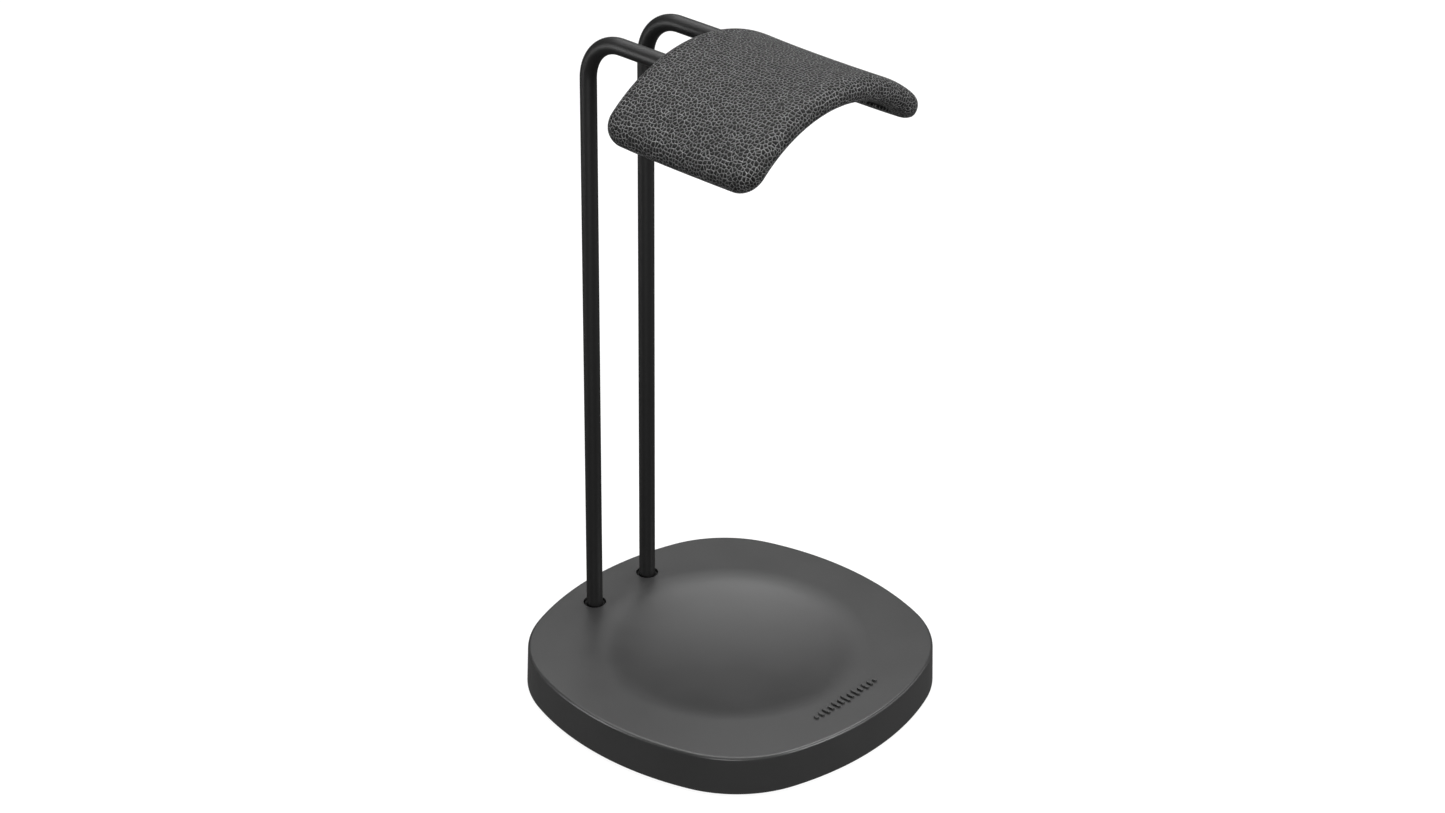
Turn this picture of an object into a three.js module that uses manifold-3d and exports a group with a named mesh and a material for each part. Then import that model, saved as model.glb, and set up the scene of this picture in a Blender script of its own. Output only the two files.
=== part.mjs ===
// Headphone stand: a weighted base with a shallow dish, two bent steel rods and a padded saddle.
//
// Millimetres, +Z up. The front of the stand, where a headphone faces, is -Y. The origin is on the
// surface that the stand rests on, below the middle of the base.

import * as THREE from 'three';
import { LoftGeometry } from 'three/addons/geometries/LoftGeometry.js';
import { mergeVertices } from 'three/addons/utils/BufferGeometryUtils.js';
import Module from 'manifold-3d';

const wasm = await Module();
wasm.setup();

// ---- Driving dimensions ------------------------------------------------------------------------

const GAP = 0.3; // left between pieces that touch on the real stand
const FOOT_PROUD = 1.0; // the feet hold the edge of the base this far off the table

// Base outline: four bulging sides joined by four rounder corners.
const BASE_HALF_WIDTH = 74.7; // middle of the base to the middle of a side, at the top
const SIDE_RADIUS = 117.4;
const CORNER_RADIUS = 46.3;
const BASE_HEIGHT = 16.1;
const BASE_FLARE = 0.6; // the side wall leans out by this much at the bottom
const TOP_FILLET = 1.2;
const SHELL_WALL = 2.6;
const SHELL_TOP = 3.0;

// Dish in the top of the base: a shallow bowl whose rim is blended into the flat top.
const DISH_BLEND_START = 45.6;
const DISH_BLEND_END = 55.6;
const DISH_DEPTH = 5.0;
const DISH_RADII = [DISH_BLEND_END, 50.6, DISH_BLEND_START, 32, 16, 0];

// Bottom cover, its feet and its screws.
const COVER_INSET = 0.4;
const COVER_THICKNESS = 2.4;
const FOOT_RADIUS = 8.0;
const FOOT_POCKET = 1.0;
const FOOT_OFFSET = 46.0; // along X and along Y
const BOSS_OFFSET = 61.5; // the four screw bosses stand on the X and Y axes
const BOSS_RADIUS = 4.0;
const BOSS_PILOT_DEPTH = 6.6;

// Rods.
const ROD_RADIUS = 3.25;
const ROD_X = 15.5; // each rod stands this far from the middle
const ROD_Y = 60.2;
const ROD_BEND_RADIUS = 17.2;
const ARM_HEIGHT = 263.4; // centre of the horizontal arms
const ROD_FOOT = 10.3; // lower end, inside the ballast
const ROD_TAP_RADIUS = 2.0;
const ROD_TAP_DEPTH = 10.0;
const ROD_SIDES = 16;
const BEND_STEPS = 8;

// Flattened end of each arm, which lies on the saddle plate and follows its curve.
const TAB_START = 16.5; // the bar is round behind this Y and flat in front of it
const TAB_END = -33.0;
const TAB_SWAGE = 6.0; // length over which the round bar turns flat
const TAB_HALF_WIDTH = 6.0;
const TAB_HALF_THICKNESS = 1.2;

// Fixings of the rods in the ballast.
const SOCKET_FLOOR = 10.0;
const COUNTERBORE_TOP = 8.0;
const COUNTERBORE_RADIUS = 4.4;
const BUSHING_FLANGE_RADIUS = 5.6;
const BUSHING_NECK_RADIUS = 4.2;
const BUSHING_SEAT = 12.2;
const BUSHING_RECESS = 0.8; // the bushing stops this far below the top of the base
const WASHER_THICKNESS = 0.8;

// Saddle: every layer is an arch about one axis, and w is the height above its middle surface.
const ARCH_RADIUS = 62.8;
const ARCH_CENTRE_Z = 200.8;
const PAD_HALF_LENGTH = 53.4; // half the length of the arch, measured along the middle surface
const PAD_FRONT = -48.7;
const PAD_REAR = 22.6;
const PAD_CORNER = 8.7;
const PAD_ABOVE = 5.9; // thickness above the middle surface
const PAD_BELOW = 3.8;
const PAD_EDGE = 5.0; // the edge is rounded over this width
const ARCH_STATIONS = [-40, -30, -20, -10, 0, 10, 20, 30, 40]; // sections along the arch
const LIFT_MIDDLE = -23.4; // the saddle rises a little towards its front and its rear from this Y
const LIFT_SQUARE = 0.44e-3;
const LIFT_FOURTH = 0.09e-6;

const SKIN = 0.9; // leatherette
const SKIN_HEM = 7.7; // how far it is turned in under the saddle
const FOAM_BOTTOM = 3.2;
const FORMER_TOP = 2.9;
const FORMER_RECESS = -0.6;
const PLATE_TOP = -0.9;
const PLATE_THICKNESS = 2.0;
const PLATE_INSET = 8.5;

// Screws: countersunk, 3 mm in size, drawn at the core of the thread.
const SCREW_SHANK = 1.2;
const SCREW_HEAD = 2.8;
const SCREW_HEAD_HEIGHT = 1.7;
const SCREW_SIDES = 10;
const COVER_SCREW_LENGTH = 8.0;
const ARM_SCREW_LENGTH = 4.3;
const PLATE_SCREW_LENGTH = 4.7;
const ARM_SCREW_Y = [4.0, -22.0];
const PLATE_SCREW_ARC = 37.0; // distance from the crown, along the arch
const PLATE_SCREW_Y = [3.0, -29.0];

// ---- Derived heights ---------------------------------------------------------------------------

const BASE_BOTTOM = FOOT_PROUD;
const BASE_TOP = FOOT_PROUD + BASE_HEIGHT;
const COVER_BOTTOM = BASE_BOTTOM + COVER_INSET;
const COVER_TOP = COVER_BOTTOM + COVER_THICKNESS;
const BALLAST_BOTTOM = COVER_TOP + GAP;
const SHELL_CEILING = BASE_TOP - SHELL_TOP;
const BALLAST_TOP = SHELL_CEILING - GAP;
const INNER_HALF_WIDTH = BASE_HALF_WIDTH - SHELL_WALL;
const PAD_MIDDLE_Y = (PAD_FRONT + PAD_REAR) / 2;
const PAD_HALF_WIDTH = (PAD_REAR - PAD_FRONT) / 2;

// ---- Materials ---------------------------------------------------------------------------------

const material = (color, roughness, metalness = 0) =>
  new THREE.MeshStandardMaterial({ color, roughness, metalness });

const softTouch = material(0x333334, 0.62);
const blackPaint = material(0x1d1d1e, 0.45);
const blackPlastic = material(0x1a1a1b, 0.55);
const rubber = material(0x161616, 0.85);
const castIron = material(0x4a4a4c, 0.7, 0.8);
const zincSteel = material(0x8e9196, 0.4, 1.0);
const leatherette = material(0x2e2e2f, 0.5);
const foam = material(0x6d6d70, 0.95);

// ---- Solids ------------------------------------------------------------------------------------

/** A closed three.js geometry as a solid that can be joined and cut. */
function solid(geometry) {
  const bare = new THREE.BufferGeometry().copy(geometry);
  bare.deleteAttribute('normal');
  bare.deleteAttribute('uv');
  const merged = mergeVertices(bare, 1e-4);
  const index = merged.getIndex().array;
  const corners = [];
  for (let i = 0; i < index.length; i += 3) {
    const [a, b, c] = index.slice(i, i + 3);
    if (a !== b && b !== c && c !== a) corners.push(a, b, c);
  }
  return new wasm.Manifold(new wasm.Mesh({
    numProp: 3,
    vertProperties: new Float32Array(merged.getAttribute('position').array),
    triVerts: new Uint32Array(corners),
  }));
}

/** A solid back as a named mesh. */
function mesh(name, body, surface) {
  const { vertProperties, triVerts } = body.getMesh();
  const geometry = new THREE.BufferGeometry();
  geometry.setAttribute('position', new THREE.BufferAttribute(vertProperties, 3));
  geometry.setIndex(new THREE.BufferAttribute(triVerts, 1));
  geometry.computeVertexNormals();
  const result = new THREE.Mesh(geometry, surface);
  result.name = name;
  return result;
}

/** A loft through rings that starts and ends in a point, so that it is closed. */
const loft = (rings) => solid(new LoftGeometry(rings));

/** A body turned about +Z from [radius, z] pairs, which go from the axis at the bottom to the top. */
function turned(profile, sides) {
  const points = profile.map(([radius, z]) => new THREE.Vector2(radius, z));
  return solid(new THREE.LatheGeometry(points, sides).rotateX(Math.PI / 2));
}

/** A turned ring: its profile closes on itself, so it never reaches the axis. */
const ring = (inner, outer, bottom, top, sides) =>
  turned([[inner, bottom], [outer, bottom], [outer, top], [inner, top], [inner, bottom]], sides);

/** An upright cylinder between two heights, centred on x, y. */
const peg = (x, y, radius, bottom, top, sides = 16) =>
  turned([[0, bottom], [radius, bottom], [radius, top], [0, top]], sides).translate([x, y, 0]);

const cut = (body, tools) => tools.reduce((left, tool) => left.subtract(tool), body);

// ---- Screws ------------------------------------------------------------------------------------

/** A countersunk screw, its head's face at z = 0 and its tip up. grow makes it a clearance hole. */
function screwBody(length, grow = 0) {
  const shank = SCREW_SHANK + grow;
  return turned([
    [0, -grow],
    [SCREW_HEAD + grow, -grow],
    [SCREW_HEAD + grow, 0.25 + grow],
    [shank, SCREW_HEAD_HEIGHT + grow],
    [shank, length - 0.4 + grow],
    [shank * 0.6, length + grow],
    [0, length + grow],
  ], SCREW_SIDES);
}

function screw(name, length) {
  const socket = peg(0, 0, 1.1, -1, 1.1, 6);
  return mesh(name, screwBody(length).subtract(socket), zincSteel);
}

// ---- Base outline and rings --------------------------------------------------------------------

/** The base's outline, counterclockwise from above, for a given half width, at height z. */
function outline(halfWidth, z) {
  const grow = halfWidth - BASE_HALF_WIDTH;
  const sideOffset = SIDE_RADIUS - BASE_HALF_WIDTH;
  const span = SIDE_RADIUS - CORNER_RADIUS;
  const cornerOffset = (Math.sqrt(2 * span ** 2 - sideOffset ** 2) - sideOffset) / 2;
  const turn = Math.atan2(cornerOffset, cornerOffset + sideOffset);
  const steps = 6;
  const arcs = [
    { x: -sideOffset, y: 0, radius: SIDE_RADIUS, from: -turn, to: turn },
    { x: cornerOffset, y: cornerOffset, radius: CORNER_RADIUS, from: turn, to: Math.PI / 2 - turn },
  ];
  const points = [];
  for (let quarter = 0; quarter < 4; quarter++) {
    for (const arc of arcs) {
      for (let step = 0; step < steps; step++) {
        const angle = arc.from + (arc.to - arc.from) * step / steps;
        const point = new THREE.Vector3(Math.cos(angle), Math.sin(angle), 0);
        point.multiplyScalar(arc.radius + grow).add(new THREE.Vector3(arc.x, arc.y, z));
        points.push(point.applyAxisAngle(new THREE.Vector3(0, 0, 1), quarter * Math.PI / 2));
      }
    }
  }
  return points;
}

const outlineAngles = outline(BASE_HALF_WIDTH, 0).map((p) => Math.atan2(p.y, p.x));

/** A circle whose points lie in the same directions as the outline's. */
const circle = (radius, z) =>
  outlineAngles.map((a) => new THREE.Vector3(radius * Math.cos(a), radius * Math.sin(a), z));

/** Depth of the dish below the flat top at a radius. Its slope fades to nothing over the blend. */
function dishDepth(radius) {
  const slope = 2 * DISH_DEPTH / DISH_BLEND_END;
  const blend = DISH_BLEND_END - DISH_BLEND_START;
  if (radius >= DISH_BLEND_END) return 0;
  if (radius > DISH_BLEND_START) return slope * (DISH_BLEND_END - radius) ** 2 / (2 * blend);
  const rise = (DISH_BLEND_START ** 2 - radius ** 2) / (2 * DISH_BLEND_START);
  return slope * (blend / 2 + rise);
}

/** Rings down a surface parallel to the dish, from its rim to its middle. */
const dishRings = (flatZ) => DISH_RADII.map((r) => circle(r, flatZ - dishDepth(r)));

// ---- Base --------------------------------------------------------------------------------------

const bossPlaces = [[BOSS_OFFSET, 0], [0, BOSS_OFFSET], [-BOSS_OFFSET, 0], [0, -BOSS_OFFSET]];
const footPlaces = [[1, 1], [-1, 1], [-1, -1], [1, -1]].map((s) => s.map((v) => v * FOOT_OFFSET));
const rodPlaces = { left: -ROD_X, right: ROD_X };

function baseShell() {
  const fillet = [0, 0.33, 0.67, 1].map((t) => {
    const angle = t * Math.PI / 2;
    const inset = TOP_FILLET * (1 - Math.cos(angle));
    return outline(BASE_HALF_WIDTH - inset, BASE_TOP - TOP_FILLET * (1 - Math.sin(angle)));
  });
  const walls = loft([
    ...dishRings(SHELL_CEILING).reverse(),
    outline(INNER_HALF_WIDTH, SHELL_CEILING),
    outline(INNER_HALF_WIDTH + BASE_FLARE, BASE_BOTTOM),
    outline(BASE_HALF_WIDTH + BASE_FLARE, BASE_BOTTOM),
    ...fillet,
    ...dishRings(BASE_TOP),
  ]);
  const bosses = bossPlaces.map(([x, y]) =>
    peg(x, y, BOSS_RADIUS, BALLAST_BOTTOM, SHELL_CEILING + 0.5));
  const pilots = bossPlaces.map(([x, y]) => peg(x, y, SCREW_SHANK + GAP, BASE_BOTTOM,
    BALLAST_BOTTOM + BOSS_PILOT_DEPTH, SCREW_SIDES));
  const rodHoles = Object.values(rodPlaces).map((x) =>
    peg(x, ROD_Y, BUSHING_NECK_RADIUS + GAP, BALLAST_BOTTOM, BASE_TOP + 1, 24));
  return cut(bosses.reduce((body, boss) => body.add(boss), walls), [...pilots, ...rodHoles]);
}

function baseBallast() {
  const half = INNER_HALF_WIDTH - 2 * GAP;
  const block = loft([
    circle(0, BALLAST_BOTTOM),
    outline(half, BALLAST_BOTTOM),
    outline(half, BALLAST_TOP),
    ...dishRings(BALLAST_TOP),
  ]);
  const bossHoles = bossPlaces.map(([x, y]) =>
    peg(x, y, BOSS_RADIUS + GAP, BALLAST_BOTTOM - 1, BALLAST_TOP + 1));
  const rodSeats = Object.values(rodPlaces).flatMap((x) => [
    peg(x, ROD_Y, COUNTERBORE_RADIUS, BALLAST_BOTTOM - 1, COUNTERBORE_TOP),
    peg(x, ROD_Y, ROD_TAP_RADIUS + 0.1, BALLAST_BOTTOM, SOCKET_FLOOR + 1),
    peg(x, ROD_Y, ROD_RADIUS + GAP, SOCKET_FLOOR, BALLAST_TOP + 1),
    peg(x, ROD_Y, BUSHING_FLANGE_RADIUS + GAP, BUSHING_SEAT, BALLAST_TOP + 1),
  ]);
  return cut(block, [...bossHoles, ...rodSeats]);
}

function baseCover() {
  const half = INNER_HALF_WIDTH + BASE_FLARE * (1 - COVER_TOP / BASE_HEIGHT) - GAP;
  const chamfer = 0.5;
  const plate = loft([
    circle(0, COVER_BOTTOM),
    outline(half - chamfer, COVER_BOTTOM),
    outline(half, COVER_BOTTOM + chamfer),
    outline(half, COVER_TOP),
    circle(0, COVER_TOP),
  ]);
  const pockets = footPlaces.map(([x, y]) =>
    peg(x, y, FOOT_RADIUS + GAP, COVER_BOTTOM - 1, COVER_BOTTOM + FOOT_POCKET, 24));
  const holes = bossPlaces.map(([x, y]) =>
    screwBody(COVER_SCREW_LENGTH, GAP).translate([x, y, COVER_BOTTOM]));
  return cut(plate, [...pockets, ...holes]);
}

function footPad() {
  const top = COVER_BOTTOM + FOOT_POCKET - GAP;
  return turned([[0, 0], [FOOT_RADIUS - 0.6, 0], [FOOT_RADIUS, 0.6], [FOOT_RADIUS, top], [0, top]], 24);
}

// ---- Rods and their fixings --------------------------------------------------------------------

const seatHeight = (y) => LIFT_SQUARE * (y - LIFT_MIDDLE) ** 2 + LIFT_FOURTH * (y - LIFT_MIDDLE) ** 4;

/** Ring of a rod's section at a point, with the bar's direction given by its pitch from upright. */
function rodRing(x, y, z, pitch, halfWidth, halfThickness, tilt) {
  const direction = new THREE.Vector3(0, -Math.sin(pitch), Math.cos(pitch));
  const across = new THREE.Vector3(1, 0, 0).applyAxisAngle(direction, tilt);
  const up = new THREE.Vector3().crossVectors(direction, across);
  const flat = halfWidth - halfThickness;
  return Array.from({ length: ROD_SIDES }, (_, i) => {
    const angle = (i + 0.5) / ROD_SIDES * 2 * Math.PI;
    const side = Math.sign(Math.cos(angle)) * flat + Math.cos(angle) * halfThickness;
    return new THREE.Vector3(x, y, z)
      .addScaledVector(across, side)
      .addScaledVector(up, Math.sin(angle) * halfThickness);
  });
}

/** A rod standing at x, bent forward at the top, its end pressed flat along the saddle plate. */
function rodBody(x, grow = 0) {
  const radius = ROD_RADIUS + grow;
  const round = (y, z, pitch) => rodRing(x, y, z, pitch, radius, radius, 0);
  const bend = Array.from({ length: BEND_STEPS + 1 }, (_, i) => {
    const pitch = i / BEND_STEPS * Math.PI / 2;
    const y = ROD_Y - ROD_BEND_RADIUS * (1 - Math.cos(pitch));
    return round(y, ARM_HEIGHT - ROD_BEND_RADIUS * (1 - Math.sin(pitch)), pitch);
  });

  const lean = Math.atan2(x, ARM_HEIGHT - ARCH_CENTRE_Z);
  const tabMiddle = PLATE_TOP + GAP + TAB_HALF_THICKNESS;
  const tab = (y) => rodRing(
    (ARCH_RADIUS + tabMiddle) * Math.sin(lean), y,
    ARCH_CENTRE_Z + (ARCH_RADIUS + tabMiddle) * Math.cos(lean) + seatHeight(y),
    Math.PI / 2, TAB_HALF_WIDTH + grow, TAB_HALF_THICKNESS + grow, -lean);
  const tabSteps = 6;
  const tabs = Array.from({ length: tabSteps + 1 }, (_, i) =>
    tab(TAB_START + (TAB_END - grow - TAB_START) * i / tabSteps));

  const rings = [
    round(ROD_Y, ROD_FOOT - grow, 0),
    ...bend,
    round(TAB_START + TAB_SWAGE, ARM_HEIGHT, Math.PI / 2),
    ...tabs,
  ];
  return solid(new LoftGeometry(rings, { capStart: true, capEnd: true }));
}

/** A saddle screw's place: at an arc distance and a Y, square to the arch, head down. */
function radialPlace(object, arc, y) {
  const angle = arc / ARCH_RADIUS;
  const face = ARCH_RADIUS + PLATE_TOP - PLATE_THICKNESS;
  object.position.set(face * Math.sin(angle), y, ARCH_CENTRE_Z + face * Math.cos(angle) + seatHeight(y));
  object.rotation.y = angle;
  object.updateMatrix();
  return object;
}

/** A clearance hole or a tapped hole at a saddle screw's place. */
const radialHole = (body, arc, y) =>
  body.transform(radialPlace(new THREE.Object3D(), arc, y).matrix.elements);

const armArc = ARCH_RADIUS * Math.atan2(ROD_X, ARM_HEIGHT - ARCH_CENTRE_Z);
const armScrewPlaces = [-armArc, armArc].flatMap((arc) => ARM_SCREW_Y.map((y) => [arc, y]));
const plateScrewPlaces = [-1, 1].flatMap((s) => PLATE_SCREW_Y.map((y) => [s * PLATE_SCREW_ARC, y]));

function stemRod(x) {
  const tappedFoot = peg(x, ROD_Y, ROD_TAP_RADIUS, ROD_FOOT - 1, ROD_FOOT + ROD_TAP_DEPTH, 12);
  const tappedTabs = armScrewPlaces.filter(([arc]) => arc * x > 0).map(([arc, y]) =>
    radialHole(peg(0, 0, SCREW_SHANK + GAP, 0, 10, SCREW_SIDES), arc, y));
  return cut(rodBody(x), [tappedFoot, ...tappedTabs]);
}

function rodBushing(x) {
  const inner = ROD_RADIUS + GAP;
  const neckFoot = BALLAST_TOP;
  const body = turned([
    [inner, BUSHING_SEAT + GAP],
    [BUSHING_FLANGE_RADIUS, BUSHING_SEAT + GAP],
    [BUSHING_FLANGE_RADIUS, neckFoot],
    [BUSHING_NECK_RADIUS, neckFoot],
    [BUSHING_NECK_RADIUS, BASE_TOP - BUSHING_RECESS],
    [inner, BASE_TOP - BUSHING_RECESS],
    [inner, BUSHING_SEAT + GAP],
  ], 24);
  return body.translate([x, ROD_Y, 0]);
}

function rodWasher(x) {
  const top = COUNTERBORE_TOP - GAP;
  return ring(ROD_TAP_RADIUS + 0.1, COUNTERBORE_RADIUS - 2 * GAP, top - WASHER_THICKNESS, top, 20)
    .translate([x, ROD_Y, 0]);
}

function rodBolt(x) {
  const bearing = COUNTERBORE_TOP - WASHER_THICKNESS - 2 * GAP;
  const shank = ROD_TAP_RADIUS - GAP;
  const tip = ROD_FOOT + 0.8 * ROD_TAP_DEPTH;
  const body = turned([
    [0, bearing - 2.2],
    [2.4, bearing - 2.2],
    [3.6, bearing - 1.2],
    [3.8, bearing],
    [shank, bearing],
    [shank, tip - 0.5],
    [shank - 0.5, tip],
    [0, tip],
  ], 16);
  const socket = peg(0, 0, 1.5, bearing - 3, bearing - 0.9, 6);
  return body.subtract(socket).translate([x, ROD_Y, 0]);
}

// ---- Saddle ------------------------------------------------------------------------------------

/** A flat point, arc along X, y and height w, bent over the arch. */
function bent(arc, y, w) {
  const angle = arc / ARCH_RADIUS;
  const radius = ARCH_RADIUS + w;
  return new THREE.Vector3(
    radius * Math.sin(angle), y, ARCH_CENTRE_Z + radius * Math.cos(angle) + seatHeight(y));
}

/** Half the width of the saddle's rounded rectangle, this far in from one end of its arch. */
const halfWidthAt = (width, corner, fromEnd) =>
  width - corner + Math.sqrt(corner ** 2 - Math.max(corner - fromEnd, 0) ** 2);

/** A body lofted along the arch. Its sections crowd together towards the two rounded ends. */
function archLoft(halfLength, endSteps, section, capped) {
  const ends = endSteps.map((step) => halfLength - step);
  const arcs = [...ends.map((arc) => -arc), ...ARCH_STATIONS, ...ends.reverse()];
  return solid(new LoftGeometry(arcs.map(section), { capStart: capped, capEnd: capped }));
}

const rounding = [0, 45, 90].map((degrees) => 1 - Math.cos(THREE.MathUtils.degToRad(degrees)));

/** The saddle's outer form, rounded all along its edge, or a layer of it this deep under the surface. */
function padBody(depth) {
  const length = PAD_HALF_LENGTH - depth;
  const width = PAD_HALF_WIDTH - depth;
  const corner = PAD_CORNER - depth;
  const round = PAD_EDGE - depth;
  const section = (arc) => {
    const intoCorner = Math.max(corner - (length - Math.abs(arc)), 0);
    const half = halfWidthAt(width, corner, length - Math.abs(arc));
    const side = rounding.map((share) => half - round * share);
    const middle = side[side.length - 1] / 2;
    const rows = [...side, middle, 0, -middle, ...side.map((y) => -y).reverse()];
    const swell = (y) => {
      const inside = corner - Math.hypot(intoCorner, Math.max(corner - width + Math.abs(y), 0));
      return Math.sqrt(1 - (1 - THREE.MathUtils.clamp(inside / round, 0, 1)) ** 2);
    };
    const top = rows.map((y) => bent(arc, PAD_MIDDLE_Y + y, swell(y) * (PAD_ABOVE - depth)));
    const under = rows.slice(1, -1).reverse();
    return [...top, ...under.map((y) => bent(arc, PAD_MIDDLE_Y + y, -swell(y) * (PAD_BELOW - depth)))];
  };
  return archLoft(length, [...rounding.map((share) => share * round), corner], section, false);
}

/** An arched plate with square edges, this far inside the saddle's edge, between two heights. */
function archPlate(inset, bottom, top) {
  const length = PAD_HALF_LENGTH - inset;
  const width = PAD_HALF_WIDTH - inset;
  const corner = Math.max(PAD_CORNER - inset, 1);
  const section = (arc) => {
    const half = halfWidthAt(width, corner, length - Math.abs(arc));
    const rows = [1, 0.5, 0, -0.5, -1].map((share) => share * half);
    const above = rows.map((y) => bent(arc, PAD_MIDDLE_Y + y, top));
    return [...above, ...rows.reverse().map((y) => bent(arc, PAD_MIDDLE_Y + y, bottom))];
  };
  return archLoft(length, rounding.map((share) => share * corner), section, true);
}

const armPassages = () => Object.values(rodPlaces).map((x) => rodBody(x, GAP));

/** Clearance past every face of the saddle, for the plates that cut its layers. */
const BEYOND = 3;

function saddleCover() {
  const mouth = archPlate(SKIN_HEM, -PAD_BELOW - BEYOND, SKIN);
  return cut(padBody(0), [padBody(SKIN), mouth, ...armPassages()]);
}

function saddleFoam() {
  const below = archPlate(-BEYOND, -PAD_BELOW - BEYOND, FOAM_BOTTOM);
  return cut(padBody(SKIN + GAP), [below, ...armPassages()]);
}

function saddleFormer() {
  const above = archPlate(-BEYOND, FORMER_TOP, PAD_ABOVE + BEYOND);
  const recess = archPlate(PLATE_INSET - GAP, -PAD_BELOW - BEYOND, FORMER_RECESS);
  const pilots = plateScrewPlaces.map(([arc, y]) =>
    radialHole(peg(0, 0, SCREW_SHANK + GAP, 0, PLATE_SCREW_LENGTH + GAP, SCREW_SIDES), arc, y));
  return cut(padBody(SKIN + GAP), [above, recess, ...armPassages(), ...pilots]);
}

function saddlePlate() {
  const holes = [...armScrewPlaces, ...plateScrewPlaces].map(([arc, y]) =>
    radialHole(screwBody(PLATE_SCREW_LENGTH, GAP), arc, y));
  return cut(archPlate(PLATE_INSET, PLATE_TOP - PLATE_THICKNESS, PLATE_TOP), [...holes, ...armPassages()]);
}

// ---- Assembly ----------------------------------------------------------------------------------

const base = new THREE.Group();
base.add(
  mesh('base_shell', baseShell(), softTouch),
  mesh('base_ballast', baseBallast(), castIron),
  mesh('base_cover', baseCover(), blackPlastic),
);
footPlaces.forEach(([x, y], i) => {
  const pad = mesh(`foot_pad_${i + 1}`, footPad(), rubber);
  pad.position.set(x, y, 0);
  base.add(pad);
});
bossPlaces.forEach(([x, y], i) => {
  const coverScrew = screw(`cover_screw_${i + 1}`, COVER_SCREW_LENGTH);
  coverScrew.position.set(x, y, COVER_BOTTOM);
  base.add(coverScrew);
});

const stem = new THREE.Group();
for (const [side, x] of Object.entries(rodPlaces)) {
  stem.add(
    mesh(`stem_rod_${side}`, stemRod(x), blackPaint),
    mesh(`rod_bushing_${side}`, rodBushing(x), rubber),
    mesh(`rod_washer_${side}`, rodWasher(x), zincSteel),
    mesh(`rod_bolt_${side}`, rodBolt(x), zincSteel),
  );
}

const saddle = new THREE.Group();
saddle.add(
  mesh('saddle_plate', saddlePlate(), blackPaint),
  mesh('saddle_former', saddleFormer(), blackPlastic),
  mesh('saddle_foam', saddleFoam(), foam),
  mesh('saddle_cover', saddleCover(), leatherette),
);
armScrewPlaces.forEach(([arc, y], i) => {
  saddle.add(radialPlace(screw(`arm_screw_${i + 1}`, ARM_SCREW_LENGTH), arc, y));
});
plateScrewPlaces.forEach(([arc, y], i) => {
  saddle.add(radialPlace(screw(`plate_screw_${i + 1}`, PLATE_SCREW_LENGTH), arc, y));
});

const stand = new THREE.Group();
stand.add(base, stem, saddle);

export default stand;
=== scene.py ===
"""Headphone stand: fine meshes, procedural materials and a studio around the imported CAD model.

Lengths are in metres, +Z is up and the front of the stand, where a headphone faces, is -Y.
"""

import math

import bmesh
import bpy
import numpy as np
from mathutils import Matrix, Vector


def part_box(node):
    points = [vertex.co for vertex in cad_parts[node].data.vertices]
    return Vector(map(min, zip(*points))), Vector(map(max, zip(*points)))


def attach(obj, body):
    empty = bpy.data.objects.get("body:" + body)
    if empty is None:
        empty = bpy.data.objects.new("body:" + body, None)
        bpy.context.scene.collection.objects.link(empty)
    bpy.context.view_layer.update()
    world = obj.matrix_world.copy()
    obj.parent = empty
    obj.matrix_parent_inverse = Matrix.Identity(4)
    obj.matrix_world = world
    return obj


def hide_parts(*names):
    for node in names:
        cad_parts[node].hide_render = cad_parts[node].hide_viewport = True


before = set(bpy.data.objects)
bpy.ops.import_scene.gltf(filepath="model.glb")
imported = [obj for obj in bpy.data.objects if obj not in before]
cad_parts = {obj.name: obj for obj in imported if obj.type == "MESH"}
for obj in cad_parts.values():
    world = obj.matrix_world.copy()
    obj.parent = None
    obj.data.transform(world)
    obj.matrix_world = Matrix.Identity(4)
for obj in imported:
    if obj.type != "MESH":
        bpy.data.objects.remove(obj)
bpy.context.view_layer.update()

# ---- Sizes, from the frame where it holds them --------------------------------------------------

GAP = 0.0003  # left between neighbouring pieces

BASE_FLARE = 0.0006  # how much further out the side wall stands at its foot
BASE_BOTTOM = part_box("base_shell")[0].z
BASE_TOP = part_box("base_shell")[1].z
BASE_HALF_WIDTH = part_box("base_shell")[1].x - BASE_FLARE
SIDE_RADIUS = 0.1174  # of the outline's four bulging sides
CORNER_RADIUS = 0.0463
TOP_FILLET = 0.0012
BOTTOM_FILLET = 0.0003
SHELL_WALL = 0.0026
SHELL_TOP = 0.0030
SHELL_CEILING = BASE_TOP - SHELL_TOP
CEILING_FILLET = 0.0010
OUTLINE_STEPS = 26  # points on each of the outline's eight arcs
FINE_SIDES = 96  # points round a rod's hole, a bushing or a foot
SCREW_SIDES = 48
PILOT_SIDES = 24  # round the holes that a screw fills
EDGE_LEAD = 0.0040  # flat stretch before the first edge and after the last one of an outer profile

DISH_BLEND_START = 0.0456  # the dish's curve begins to level out at this radius
DISH_BLEND_END = 0.0556  # and is level with the top from here on
DISH_DEPTH = 0.0050

COVER_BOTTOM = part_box("base_cover")[0].z
COVER_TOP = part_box("base_cover")[1].z
COVER_EDGES = [0.0005, 0.0002]  # radii of its lower and its upper edge
FOOT_POCKET = 0.0010
FOOT_BEVEL = (0.0004, 0.0006)  # inwards and upwards, round a foot's lower edge
FOOT_EDGES = [0.0004, 0.0004, 0.0002]
BOSS_RADIUS = 0.0040
BOSS_BOTTOM = COVER_TOP + GAP
BOSS_OVERLAP = 0.0005  # how far a boss runs up into the shell
PILOT_DEPTH = 0.0066

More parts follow.
